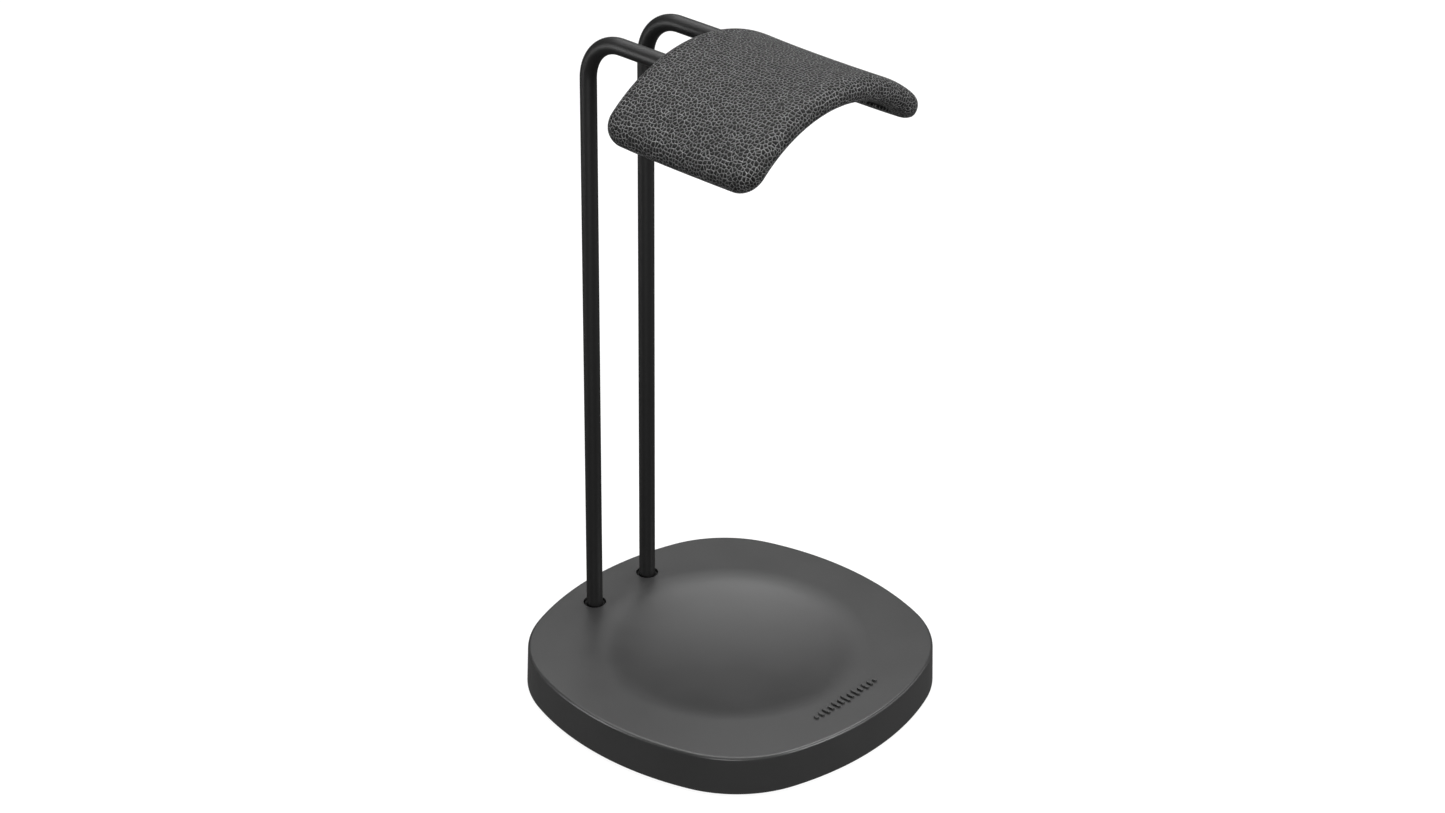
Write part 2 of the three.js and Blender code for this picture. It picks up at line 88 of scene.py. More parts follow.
ROD_RADIUS = 0.00325
ROD_BEND_RADIUS = 0.0172
ROD_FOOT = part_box("stem_rod_left")[0].z
ARM_HEIGHT = 0.2634
TAB_START = 0.0165  # Y where a rod's flattened end begins
TAB_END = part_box("stem_rod_left")[0].y
TAB_SWAGE = 0.0060  # length over which a rod goes from round to flat
TAB_HALF_WIDTH = 0.0060
TAB_HALF_THICKNESS = 0.0012
ROD_TAP_RADIUS = 0.0020
ROD_TAP_DEPTH = 0.0100
TAP_OVERCUT = 0.0010  # how far the tool for a tapped hole stands out of the rod
TAB_TAP_LENGTH = 0.0100  # long enough to go right through the flattened end
HOLE_RADIUS = 0.0045
HOLE_MOUTH = 0.0002  # radius of the rounded edge of a rod's hole
HOLE_LIFT = 0.00001  # keeps a hole's rounded edge just off the top of the base
HOLE_OVERCUT = 0.0020  # how far the tools for the rods' holes stand out of the base
BUSHING_GRIP = 0.0001  # between a rod and its bushing
BUSHING_EDGES = [0.0001, 0.0001, 0.0001, 0.0001, 0.0003, 0.0002]
PASSAGE_GAP = 0.0002  # between an arm and the leather

ARCH_RADIUS = 0.0628
ARCH_CENTRE_Z = 0.2008
PAD_HALF_LENGTH = 0.0534
PAD_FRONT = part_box("saddle_cover")[0].y
PAD_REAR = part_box("saddle_cover")[1].y
PAD_MIDDLE_Y = (PAD_FRONT + PAD_REAR) / 2
PAD_HALF_WIDTH = (PAD_REAR - PAD_FRONT) / 2
PAD_CORNER = 0.0087
PAD_ABOVE = 0.0059  # height of the pad above its outline, and below it
PAD_BELOW = 0.0038
PAD_EDGE = 0.0070  # width of the rounded edge
SWELL_POWER = 2.3
LIFT_MIDDLE = -0.0234  # Y where the saddle's curve runs lowest, and how it rises from there
LIFT_SQUARE = 0.44
LIFT_FOURTH = 90.0
SKIN = 0.0009
SKIN_HEM = 0.0077  # how far inside the outline the turned-in leather ends
EDGE_ROWS = 8
GRID_STEP = 0.0020
PLEATS = 4  # in the hem under each rounded corner
PLEAT_HEIGHT = 0.00035
PLEAT_START = 0.0010  # how far inside the outline the pleats begin
PLEAT_RISE = 0.0020
GLUED_TOP = 0.5  # how firmly the top is held, and the hem
GLUED_HEM = 1.0
FOAM_PRESSURE = 150
SETTLE_FRAMES = 12
SETTLE_CAP = 0.0010  # the furthest that a point may move
PLATE_TOP = -0.0009  # height over the arch
PLATE_THICKNESS = 0.0020
PLATE_INSET = 0.0085
PLATE_CORNER = 0.0010
PLATE_EDGE = 0.0002

SCREW_SHANK = 0.0012
SCREW_HEAD = 0.0028
SCREW_HEAD_HEIGHT = 0.0017
SCREW_RIM = 0.00025  # straight part of the head
SCREW_BEVEL = 0.00012
SCREW_SOCKET = 0.0011
SCREW_TIP = 0.0004
SCREW_TIP_SHARE = 0.6  # radius of the tip's end, in shares of the shank's
COVER_SCREW_LENGTH = 0.0080
ARM_SCREW_LENGTH = 0.0043
PLATE_SCREW_LENGTH = 0.0047

# Camera: its azimuth, elevation and roll in degrees, and its lens and sensor in millimetres.
CAMERA_ANGLES = (-48.196, 28.815, 0.593)
CAMERA_PLACE = (-0.78712, -0.69821, 0.70247)
CAMERA_LENS = 78.44
CAMERA_SENSOR = 36

WORLD_BELOW = 0.12
WORLD_ABOVE = 0.10
FLOOR_GLOW = 0.92
BACKDROP_GLOW = 0.95
BACKDROP_RADIUS = 5.5
FLOOR_SIZE = 12
HORIZON = 0.01  # half the height over which the world changes from below to above

# Softboxes round the stand: azimuth from +X and elevation in degrees, and power in watts.
SOFTBOXES = [
    (0, 90, 5.0),
    (0, 60, 11.0), (60, 60, 6.2), (120, 60, 4.0), (180, 60, 1.5),
    (45, 40, 1.0), (288, 22, 12.5),
    (144, 5, 8.2), (216, 5, 7.4), (324, 5, 2.4),
]
SOFTBOX_SIZE = 0.55
SOFTBOX_DISTANCE = 1.3
SOFTBOX_AIM = Vector((0, 0, 0.12))

# Leather grain.
GRAIN_CELL = 0.0015  # a pebble
GRAIN_WRINKLE = 0.45  # size of the fine wrinkles in shares of a pebble
GRAIN_DRIFT = 0.0024  # over this size the pebbles lean one way
GRAIN_SHIFT = 0.0009
GRAIN_GLINT_PATCH = 0.0035  # over this size the painted highlight and the real gloss on the creases grow fainter and stronger
GRAIN_RELIEF = 0.0007

# Ornament of bars on the base, each bar's length in shares of the longest.
MARK_BARS = [0.45, 0.6, 0.8, 0.62, 0.9, 0.7, 1.0, 0.72, 0.9, 0.6, 0.78, 0.6, 0.45]
MARK_LENGTH = 0.0050
MARK_WIDTH = 0.0014
MARK_PITCH = 0.0029
MARK_PROUD = 0.0009
MARK_SINK = 0.0001
MARK_EDGE = 0.00012
MARK_Y = -0.0598


# ---- Camera and studio ---------------------------------------------------------------------------

def add_camera():
    azimuth, elevation, roll = (math.radians(angle) for angle in CAMERA_ANGLES)
    back = Vector((math.sin(azimuth) * math.cos(elevation),
                   -math.cos(azimuth) * math.cos(elevation),
                   math.sin(elevation)))
    level = Vector((math.cos(azimuth), math.sin(azimuth), 0))
    upward = back.cross(level)
    right = math.cos(roll) * level + math.sin(roll) * upward
    up = back.cross(right)
    data = bpy.data.cameras.new("camera")
    data.sensor_width = CAMERA_SENSOR
    data.lens = CAMERA_LENS
    camera = bpy.data.objects.new("camera", data)
    camera.matrix_world = Matrix((right, up, back)).transposed().to_4x4()
    camera.location = CAMERA_PLACE
    bpy.context.collection.objects.link(camera)
    bpy.context.scene.camera = camera


def add_softbox(azimuth, elevation, power):
    """A square area light some way from the stand, aimed at its middle."""
    azimuth, elevation = math.radians(azimuth), math.radians(elevation)
    direction = Vector((math.cos(azimuth) * math.cos(elevation),
                        math.sin(azimuth) * math.cos(elevation),
                        math.sin(elevation)))
    data = bpy.data.lights.new("softbox", "AREA")
    data.size = SOFTBOX_SIZE
    data.energy = power
    light = bpy.data.objects.new("softbox", data)
    light.location = SOFTBOX_AIM + direction * SOFTBOX_DISTANCE
    light.rotation_mode = "QUATERNION"
    light.rotation_quaternion = direction.to_track_quat("Z", "Y")
    light.visible_camera = False
    bpy.context.collection.objects.link(light)


def add_world():
    """A dim room, a little lighter below the horizon."""
    world = bpy.data.worlds.new("studio")
    world.use_nodes = True
    tree = world.node_tree
    direction = node(tree, "TexCoord").outputs["Generated"]
    height = node(tree, "SeparateXYZ", {"Vector": direction}).outputs["Z"]
    strength = between(tree, height, -HORIZON, HORIZON, WORLD_BELOW, WORLD_ABOVE)
    tree.links.new(strength, tree.nodes["Background"].inputs["Strength"])
    tree.nodes["Background"].inputs["Color"].default_value = (1, 1, 1, 1)
    bpy.context.scene.world = world


def add_scenery(piece, material):
    """A floor or backdrop that is seen, but that lights and reflects nothing."""
    piece.data.materials.append(material)
    piece.visible_diffuse = False
    piece.visible_glossy = False


def add_studio():
    add_world()
    for azimuth, elevation, power in SOFTBOXES:
        add_softbox(azimuth, elevation, power)

    bpy.ops.mesh.primitive_plane_add(size=FLOOR_SIZE)
    bpy.context.object.name = "floor"
    add_scenery(bpy.context.object, floor_material())

    bpy.ops.mesh.primitive_uv_sphere_add(segments=64, ring_count=32, radius=BACKDROP_RADIUS)
    backdrop = bpy.context.object
    backdrop.name = "backdrop"
    backdrop.visible_shadow = False
    add_scenery(backdrop, backdrop_material())
    bpy.context.scene.view_settings.view_transform = "Standard"


# ---- Material nodes ------------------------------------------------------------------------------

def node(tree, kind, inputs=None, **settings):
    """A shader node. An input is a plain value or another node's output."""
    made = tree.nodes.new("ShaderNode" + kind)
    for key, value in settings.items():
        setattr(made, key, value)
    for key, value in (inputs or {}).items():
        if isinstance(value, bpy.types.NodeSocket):
            tree.links.new(value, made.inputs[key])
        else:
            made.inputs[key].default_value = value
    return made


def new_material(name, **sockets):
    """A Principled material, its tree and its shader, with plain values on the given sockets."""
    material = bpy.data.materials.new(name)
    material.use_nodes = True
    shader = material.node_tree.nodes["Principled BSDF"]
    for key, value in sockets.items():
        shader.inputs[key.replace("_", " ")].default_value = value
    return material, material.node_tree, shader


def grey(value, tint=1.0):
    """A near-neutral linear colour. tint over 1 makes it slightly warm."""
    return (value * tint, value, value / tint, 1)


def object_position(tree):
    return node(tree, "TexCoord").outputs["Object"]


def noise(tree, where, size, detail=2.0, roughness=0.5):
    """Noise between 0 and 1 whose features are about this size."""
    inputs = {"Vector": where, "Scale": 1 / size, "Detail": detail, "Roughness": roughness}
    return node(tree, "TexNoise", inputs).outputs["Fac"]


def between(tree, value, low, high, to_low, to_high, smooth=False):
    """The value's range low..high mapped to to_low..to_high and held there outside it."""
    inputs = {"Value": value, "From Min": low, "From Max": high,
              "To Min": to_low, "To Max": to_high}
    shape = "SMOOTHSTEP" if smooth else "LINEAR"
    return node(tree, "MapRange", inputs, interpolation_type=shape).outputs["Result"]


def math_node(tree, operation, a, b):
    return node(tree, "Math", {0: a, 1: b}, operation=operation).outputs[0]


def blend_colour(tree, factor, a, b):
    """Colour a at factor 0 and b at 1. Sockets 6, 7 and 2 are the node's colour ones."""
    return node(tree, "Mix", {0: factor, 6: a, 7: b}, data_type="RGBA").outputs[2]


def bump(tree, shader, height, distance, strength=1.0):
    """Puts a height map, in shares of distance, on the shader's normal."""
    inputs = {"Height": height, "Distance": distance, "Strength": strength}
    tree.links.new(node(tree, "Bump", inputs).outputs["Normal"], shader.inputs["Normal"])


def floor_material():
    material, tree, shader = new_material("pale_floor", Roughness=0.9, Specular_IOR_Level=0.1)
    fleck = noise(tree, object_position(tree), 0.004)
    tree.links.new(blend_colour(tree, fleck, grey(0.11), grey(0.13)), shader.inputs["Base Color"])
    shader.inputs["Emission Color"].default_value = (1, 1, 1, 1)
    shader.inputs["Emission Strength"].default_value = FLOOR_GLOW
    return material


def backdrop_material():
    """A pale wall, a little uneven, that glows evenly."""
    material, tree, shader = new_material("pale_wall", Roughness=1.0, Specular_IOR_Level=0.0)
    cloud = noise(tree, object_position(tree), 1.5)
    tree.links.new(blend_colour(tree, cloud, grey(0.96), grey(1.0)),
                   shader.inputs["Emission Color"])
    shader.inputs["Base Color"].default_value = (0, 0, 0, 1)
    shader.inputs["Emission Strength"].default_value = BACKDROP_GLOW
    return material


def soft_touch_material():
    """Soft-touch lacquer on moulded plastic: a fine even grain and faint clouding in the gloss."""
    material, tree, shader = new_material("soft_touch_finish", Specular_IOR_Level=0.5)
    where = object_position(tree)
    grain = noise(tree, where, 0.00035, detail=3)
    cloud = noise(tree, where, 0.018)
    tree.links.new(blend_colour(tree, cloud, grey(0.024), grey(0.028)), shader.inputs["Base Color"])
    tree.links.new(between(tree, cloud, 0.3, 0.7, 0.34, 0.38), shader.inputs["Roughness"])
    bump(tree, shader, grain, 0.00002, 0.5)
    return material


def black_paint_material():
    """Satin black powder coat: low orange peel with a finer speckle over it."""
    material, tree, shader = new_material("black_paint_finish", Specular_IOR_Level=0.34)
    where = object_position(tree)
    peel = noise(tree, where, 0.0011)
    speckle = noise(tree, where, 0.00025)
    height = math_node(tree, "ADD", math_node(tree, "MULTIPLY", peel, 0.7), speckle)
    tree.links.new(blend_colour(tree, peel, grey(0.0045), grey(0.0085)),
                   shader.inputs["Base Color"])
    tree.links.new(between(tree, speckle, 0.3, 0.7, 0.42, 0.50), shader.inputs["Roughness"])
    bump(tree, shader, height, 0.00002, 0.5)
    return material


def black_plastic_material():
    """Moulded plastic with a spark-eroded texture."""
    material, tree, shader = new_material("black_plastic_finish", Specular_IOR_Level=0.4)
    where = object_position(tree)
    texture = noise(tree, where, 0.0006, detail=4, roughness=0.65)
    tree.links.new(blend_colour(tree, texture, grey(0.010), grey(0.017)),
                   shader.inputs["Base Color"])
    tree.links.new(between(tree, texture, 0.3, 0.7, 0.52, 0.66), shader.inputs["Roughness"])
    bump(tree, shader, texture, 0.00005, 0.6)
    return material


def rubber_material():
    material, tree, shader = new_material("rubber_finish", Specular_IOR_Level=0.2)
    where = object_position(tree)
    bloom = noise(tree, where, 0.004, detail=3)
    grit = noise(tree, where, 0.0004)
    tree.links.new(blend_colour(tree, bloom, grey(0.004), grey(0.008)), shader.inputs["Base Color"])
    tree.links.new(between(tree, bloom, 0.3, 0.7, 0.74, 0.88), shader.inputs["Roughness"])
    bump(tree, shader, grit, 0.00004, 0.6)
    return material


def cast_iron_material():
    """Sand-cast surface: coarse pitting and darker hollows."""
    material, tree, shader = new_material("cast_iron_finish", Metallic=0.85)
    where = object_position(tree)
    sand = noise(tree, where, 0.0009, detail=4, roughness=0.7)
    tree.links.new(blend_colour(tree, sand, grey(0.05), grey(0.13)), shader.inputs["Base Color"])
    tree.links.new(between(tree, sand, 0.3, 0.7, 0.8, 0.55), shader.inputs["Roughness"])
    bump(tree, shader, sand, 0.00025, 0.9)
    return material


def screw_steel_material():
    """Zinc-plated steel, faintly turned and mottled."""
    material, tree, shader = new_material("screw_steel_finish", Metallic=1.0)
    where = object_position(tree)
    plating = noise(tree, where, 0.0008, detail=3)
    tree.links.new(blend_colour(tree, plating, grey(0.30, 0.98), grey(0.42, 0.97)),
                   shader.inputs["Base Color"])
    tree.links.new(between(tree, plating, 0.3, 0.7, 0.24, 0.40), shader.inputs["Roughness"])
    bump(tree, shader, plating, 0.00002, 0.5)
    return material


def foam_material():
    """Open-cell foam."""
    material, tree, shader = new_material("foam_finish", Roughness=0.95, Specular_IOR_Level=0.1)
    inputs = {"Vector": object_position(tree), "Scale": 1 / 0.0009}
    cells = node(tree, "TexVoronoi", inputs).outputs["Distance"]
    tree.links.new(blend_colour(tree, cells, grey(0.10), grey(0.22)), shader.inputs["Base Color"])
    bump(tree, shader, cells, 0.0004, 0.8)
    return material


def leatherette_material():
    """Pebbled leatherette: dark dull pebbles in a network of glossier creases, whose pale colour is
    a painted highlight.

    The grain lies in the sheet's own flat coordinates, kept in the UV map "leather" in metres, so
    it follows the leather over the edges.
    """
    material, tree, shader = new_material("leatherette_finish")
    flat = node(tree, "UVMap", uv_map="leather").outputs["UV"]
    drift = node(tree, "TexNoise", {"Vector": flat, "Scale": 1 / GRAIN_DRIFT, "Detail": 2.0})
    centred = node(tree, "VectorMath", {0: drift.outputs["Color"], 1: (0.5, 0.5, 0.5)},
                   operation="SUBTRACT").outputs[0]
    warp = node(tree, "VectorMath", {0: centred, 1: (GRAIN_SHIFT, GRAIN_SHIFT, 0.0)},
                operation="MULTIPLY").outputs[0]
    where = node(tree, "VectorMath", {0: flat, 1: warp}, operation="ADD").outputs[0]

    def edge_distance(size, randomness):
        """How far a point is from the edge of its cell, in shares of the cells' size."""
        inputs = {"Vector": where, "Scale": 1 / size, "Randomness": randomness}
        return node(tree, "TexVoronoi", inputs, voronoi_dimensions="2D",
                    feature="DISTANCE_TO_EDGE").outputs["Distance"]

    pebble = edge_distance(GRAIN_CELL, 0.82)
    wrinkle = edge_distance(GRAIN_CELL * GRAIN_WRINKLE, 1.0)
    # Patches over which the creases' painted highlight and their gloss are fainter and stronger.
    glint_patches = between(tree, noise(tree, flat, GRAIN_GLINT_PATCH, detail=3), 0.3, 0.7, 0.4, 1.0)
    line = between(tree, pebble, 0.0, 0.16, 1.0, 0.0, smooth=True)
    glinting_crease = math_node(tree, "MULTIPLY", line, glint_patches)
    # Painted highlight: the creases are coloured pale as glints, fainter and stronger in patches;
    # their lower roughness and higher specular are real gloss.
    tree.links.new(blend_colour(tree, glinting_crease, grey(0.005), grey(0.18)), shader.inputs["Base Color"])
    tree.links.new(between(tree, glinting_crease, 0.0, 1.0, 0.46, 0.32), shader.inputs["Roughness"])
    tree.links.new(between(tree, glinting_crease, 0.0, 1.0, 0.22, 1.6), shader.inputs["Specular IOR Level"])

    dome = between(tree, pebble, 0.0, 0.35, 0.0, 1.0, smooth=True)
    furrow = between(tree, wrinkle, 0.0, 0.25, -0.25, 0.0, smooth=True)
    bump(tree, shader, math_node(tree, "ADD", dome, furrow), GRAIN_RELIEF)
    return material


# ---- Mesh building -------------------------------------------------------------------------------

def object_from(name, bm):
    """Turns a bmesh into an object, welded and with its faces pointing out."""
    bmesh.ops.remove_doubles(bm, verts=bm.verts, dist=1e-7)
    bmesh.ops.recalc_face_normals(bm, faces=bm.faces)
    mesh = bpy.data.meshes.new(name)
    bm.to_mesh(mesh)
    bm.free()
    made = bpy.data.objects.new(name, mesh)
    bpy.context.collection.objects.link(made)
    return made


def add_skin(bm, rings, closed=False):
    """Adds a body through rings of points, capped at both ends.

    A closed one has no caps: its last ring is joined to its first.
    """
    rows = [[bm.verts.new(point) for point in ring] for ring in rings]
    for lower, upper in zip(rows, rows[1:] + rows[:1] if closed else rows[1:]):
        for i, vertex in enumerate(lower):
            bm.faces.new((lower[i - 1], vertex, upper[i], upper[i - 1]))
    if not closed:
        bm.faces.new(rows[0])
        bm.faces.new(rows[-1])


def loft(name, rings, closed=False):
    """A body through rings of points. An end ring whose points are all one is welded to a tip."""
    bm = bmesh.new()
    add_skin(bm, rings, closed)
    return object_from(name, bm)


def rounded(profile, radii, steps=6):
    """A 2-D profile with each corner between its two ends rounded, one radius for each."""
    profile = [Vector(p) for p in profile]
    points = [profile[0]]
    for before, corner, after, radius in zip(profile, profile[1:], profile[2:], radii):
        back, ahead = (before - corner).normalized(), (after - corner).normalized()
        half_angle = back.angle(ahead) / 2
        centre = corner + (back + ahead).normalized() * radius / math.sin(half_angle)
        reach = radius / math.tan(half_angle)
        start = (corner + back * reach - centre).normalized()
        end = (corner + ahead * reach - centre).normalized()
        points += [centre + start.slerp(end, step / steps) * radius for step in range(steps + 1)]
    points.append(profile[-1])
    return points


def circle(radius, z, sides=64):
    angles = np.arange(sides) * 2 * math.pi / sides
    return np.column_stack([radius * np.cos(angles), radius * np.sin(angles), np.full(sides, z)])


def turned(name, profile, place=(0, 0, 0), sides=64, closed=False):
    """A body turned about +Z from (radius, z) points.

    They start and end on the axis, or go round a closed loop.
    """
    made = loft(name, [circle(radius, z, sides) for radius, z in profile], closed)
    made.data.transform(Matrix.Translation(place))
    return made


def peg(name, radius, bottom, top, place=Vector(), sides=64):
    """An upright cylinder between two heights, at the X and Y of a place."""
    profile = [(0, bottom), (radius, bottom), (radius, top), (0, top)]
    return turned(name, profile, (place.x, place.y, 0), sides)


def apply_modifiers(piece):
    bpy.context.view_layer.update()
    depsgraph = bpy.context.evaluated_depsgraph_get()
    piece.data = bpy.data.meshes.new_from_object(piece.evaluated_get(depsgraph))
    piece.modifiers.clear()


def combined(target, tools, operation="DIFFERENCE"):
    """Cuts the tools from the target, or joins them to it, and removes them."""
    for tool in tools:
        step = target.modifiers.new("step", "BOOLEAN")
        step.operation = operation
        step.solver = "EXACT"
        step.object = tool
    apply_modifiers(target)
    for tool in tools:
        bpy.data.objects.remove(tool)
    return target


def install(piece, material, slot, *nodes, sharp=35):
    """Gives a new piece its finish and its place in the assembly."""
    piece.data.materials.clear()
    piece.data.materials.append(material)
    piece.data.shade_smooth()
    piece.data.set_sharp_from_angle(angle=math.radians(sharp))
    normals = piece.modifiers.new("normals", "WEIGHTED_NORMAL")
    normals.keep_sharp = True
    apply_modifiers(piece)
    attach(piece, "root")
    if nodes:
        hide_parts(*nodes)
    return piece


def middle_of(node_name):
    low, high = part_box(node_name)
    return (low + high) / 2


# ---- The saddle's curve --------------------------------------------------------------------------

def seat_height(y):
    """How much higher the saddle's curve runs at y than at its lowest section."""
    return LIFT_SQUARE * (y - LIFT_MIDDLE) ** 2 + LIFT_FOURTH * (y - LIFT_MIDDLE) ** 4


def bent(arc, y, w):
    """Flat points, arc along X, y and height w, bent over the arch."""
    angle = arc / ARCH_RADIUS
    radius = ARCH_RADIUS + w
    height = ARCH_CENTRE_Z + radius * np.cos(angle) + seat_height(y)
    return np.stack([radius * np.sin(angle), y, height], axis=-1)


# ---- Base ----------------------------------------------------------------------------------------

def outline(half_width, z):
    """The base's outline, counterclockwise from above: four bulging sides and four corners."""
    grow = half_width - BASE_HALF_WIDTH
    side_offset = SIDE_RADIUS - BASE_HALF_WIDTH
    span = SIDE_RADIUS - CORNER_RADIUS
    corner_offset = (math.sqrt(2 * span ** 2 - side_offset ** 2) - side_offset) / 2
    turn = math.atan2(corner_offset, corner_offset + side_offset)
    arcs = [(-side_offset, 0, SIDE_RADIUS, -turn, turn),
            (corner_offset, corner_offset, CORNER_RADIUS, turn, math.pi / 2 - turn)]
    points = []
    for quarter in range(4):
        for x, y, radius, start, end in arcs:
            angles = np.linspace(start, end, OUTLINE_STEPS, endpoint=False)
            around = np.column_stack([np.cos(angles), np.sin(angles)])
            flat = np.array([x, y]) + (radius + grow) * around
            for _ in range(quarter):
                flat = np.column_stack([-flat[:, 1], flat[:, 0]])
            points.append(flat)
    points = np.concatenate(points)
    return np.column_stack([points, np.full(len(points), z)])


def base_circle(radius, z):
    """A circle whose points lie in the same directions as the outline's."""
    flat = outline(BASE_HALF_WIDTH, z)[:, :2]
    flat *= radius / np.linalg.norm(flat, axis=1)[:, None]
    return np.column_stack([flat, np.full(len(flat), z)])


def dish_depth(radius):
    slope = 2 * DISH_DEPTH / DISH_BLEND_END
    blend = DISH_BLEND_END - DISH_BLEND_START
    if radius >= DISH_BLEND_END:
        return 0.0
    if radius > DISH_BLEND_START:
        return slope * (DISH_BLEND_END - radius) ** 2 / (2 * blend)
    return slope * (blend / 2 + (DISH_BLEND_START ** 2 - radius ** 2) / (2 * DISH_BLEND_START))


def dish_rings(flat_z, steps=36):
    """Rings down a surface parallel to the dish, from its rim to its middle."""
    radii = np.linspace(DISH_BLEND_END, 0, steps)
    return [base_circle(radius, flat_z - dish_depth(radius)) for radius in radii]


def boss_places():
    return [middle_of(f"cover_screw_{i}") for i in (1, 2, 3, 4)]


def rod_hole(place):
    """A tool that cuts a rod's hole in the shell, with a rounded edge at the top."""
    wide, high = HOLE_RADIUS + HOLE_MOUTH, BASE_TOP + HOLE_OVERCUT
    mouth = rounded([(HOLE_RADIUS, BOSS_BOTTOM), (HOLE_RADIUS, BASE_TOP),
                     (2 * HOLE_RADIUS, BASE_TOP)], [HOLE_MOUTH], steps=8)[:-1]
    profile = [(0, BOSS_BOTTOM), *mouth, (wide, high), (0, high)]
    lifted = [(radius, z + HOLE_LIFT) for radius, z in profile]
    return turned("hole", lifted, (place.x, place.y, 0), FINE_SIDES)


def build_base_shell(material):
    inner = BASE_HALF_WIDTH - SHELL_WALL
    wall = rounded(
        [(inner - EDGE_LEAD, SHELL_CEILING), (inner, SHELL_CEILING),
         (inner + BASE_FLARE, BASE_BOTTOM), (BASE_HALF_WIDTH + BASE_FLARE, BASE_BOTTOM),
         (BASE_HALF_WIDTH, BASE_TOP), (BASE_HALF_WIDTH - EDGE_LEAD, BASE_TOP)],
        [CEILING_FILLET, BOTTOM_FILLET, BOTTOM_FILLET, TOP_FILLET], steps=8)
    shell = loft("base_shell_fine", [
        *dish_rings(SHELL_CEILING, 12)[::-1],
        *[outline(half_width, z) for half_width, z in wall],
        *dish_rings(BASE_TOP),
    ])
    bosses = [peg("boss", BOSS_RADIUS, BOSS_BOTTOM, SHELL_CEILING + BOSS_OVERLAP, place)
              for place in boss_places()]
    pilots = [peg("pilot", SCREW_SHANK + GAP, BASE_BOTTOM, BOSS_BOTTOM + PILOT_DEPTH,
                  place, PILOT_SIDES) for place in boss_places()]
    holes = [rod_hole(middle_of(f"rod_bushing_{side}")) for side in ("left", "right")]
    combined(shell, bosses, "UNION")
    combined(shell, pilots + holes)
    install(shell, material, "soft_touch", "base_shell")


def rounded_bar(bm, x, y, length, width, bottom, top, edge, steps=10):
    """Adds an upright bar with round ends along Y and a rounded upper edge."""
    half = length / 2 - width / 2
    levels = [(0, bottom)] + [
        (edge * (1 - math.cos(t)), top - edge * (1 - math.sin(t)))
        for t in np.linspace(0, math.pi / 2, 5)]
    rings = []
    for inset, z in levels:
        reach = width / 2 - inset
        rings.append([(x + reach * math.cos(angle), y + sign * half + reach * math.sin(angle), z)
                      for sign, start in ((1, 0), (-1, math.pi))
                      for angle in np.linspace(start, start + math.pi, steps)])
    add_skin(bm, rings)


def build_base_mark(material):
    """A plain ornament of raised bars on the front of the base."""
    bm = bmesh.new()
    middle = (len(MARK_BARS) - 1) / 2
    for i, share in enumerate(MARK_BARS):
        rounded_bar(bm, (i - middle) * MARK_PITCH, MARK_Y, MARK_LENGTH * share, MARK_WIDTH,
                    BASE_TOP - MARK_SINK, BASE_TOP + MARK_PROUD, MARK_EDGE)
    install(object_from("base_mark", bm), material, "soft_touch")


def screw_tool(length, place):
    """A clearance hole for a countersunk screw whose head faces down."""
    shank, head = SCREW_SHANK + GAP, SCREW_HEAD + GAP
    profile = [(0, -GAP), (head, -GAP), (head, SCREW_RIM + GAP), (shank, SCREW_HEAD_HEIGHT + GAP),
               (shank, length + GAP), (0, length + GAP)]
    tool = turned("screw_tool", profile, sides=SCREW_SIDES)
    tool.data.transform(place)
    return tool


def build_base_cover(material):
    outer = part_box("base_cover")[1].x
    edge = rounded([(outer - EDGE_LEAD, COVER_BOTTOM), (outer, COVER_BOTTOM),
                    (outer, COVER_TOP), (outer - EDGE_LEAD, COVER_TOP)], COVER_EDGES)
    cover = loft("base_cover_fine", [
        base_circle(0, COVER_BOTTOM),
        *[outline(half_width, z) for half_width, z in edge],
        base_circle(0, COVER_TOP),
    ])
    pockets = []
    for i in (1, 2, 3, 4):
        low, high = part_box(f"foot_pad_{i}")
        radius = (high.x - low.x) / 2 + GAP
        pockets.append(peg("pocket", radius, 0, COVER_BOTTOM + FOOT_POCKET,
                           (low + high) / 2, FINE_SIDES))
    holes = [screw_tool(COVER_SCREW_LENGTH, Matrix.Translation((place.x, place.y, COVER_BOTTOM)))
             for place in boss_places()]
    install(combined(cover, pockets + holes), material, "black_plastic", "base_cover")


def build_feet(material):
    for i in (1, 2, 3, 4):
        low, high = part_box(f"foot_pad_{i}")
        place = (low + high) / 2
        radius = (high.x - low.x) / 2
        inwards, upwards = FOOT_BEVEL
        profile = rounded([(0, low.z), (radius - inwards, low.z), (radius, low.z + upwards),
                           (radius, high.z), (0, high.z)], FOOT_EDGES)
        foot = turned(f"foot_pad_{i}_fine", profile, (place.x, place.y, 0), FINE_SIDES)
        install(foot, material, "rubber", f"foot_pad_{i}")


# ---- Screws --------------------------------------------------------------------------------------

def hexagon(radius, z):
    """A hexagon with as many points as a screw's circles, so that it can be lofted to one."""
    ring = circle(1, z, SCREW_SIDES)
    angles = np.arange(SCREW_SIDES) * 2 * math.pi / SCREW_SIDES
    from_flat = (angles % (math.pi / 3)) - math.pi / 6
    ring[:, :2] *= (radius * math.cos(math.pi / 6) / np.cos(from_flat))[:, None]
    return ring


def build_screw(node_name, length, place, material):
    """A countersunk socket screw. Its place takes its head's face from z = 0, its tip up."""
    socket = [(0, SCREW_SOCKET), (SCREW_SOCKET, SCREW_SOCKET), (SCREW_SOCKET, SCREW_BEVEL)]
    outside = [(SCREW_SOCKET + SCREW_BEVEL, 0), (SCREW_HEAD - SCREW_BEVEL, 0),
               (SCREW_HEAD, SCREW_BEVEL), (SCREW_HEAD, SCREW_RIM),
               (SCREW_SHANK, SCREW_HEAD_HEIGHT), (SCREW_SHANK, length - SCREW_TIP),
               (SCREW_SHANK * SCREW_TIP_SHARE, length), (0, length)]
    screw = loft(node_name + "_fine", [hexagon(radius, z) for radius, z in socket] +
                 [circle(radius, z, SCREW_SIDES) for radius, z in outside])
    screw.data.transform(place)
    install(screw, material, "screw_steel", node_name)


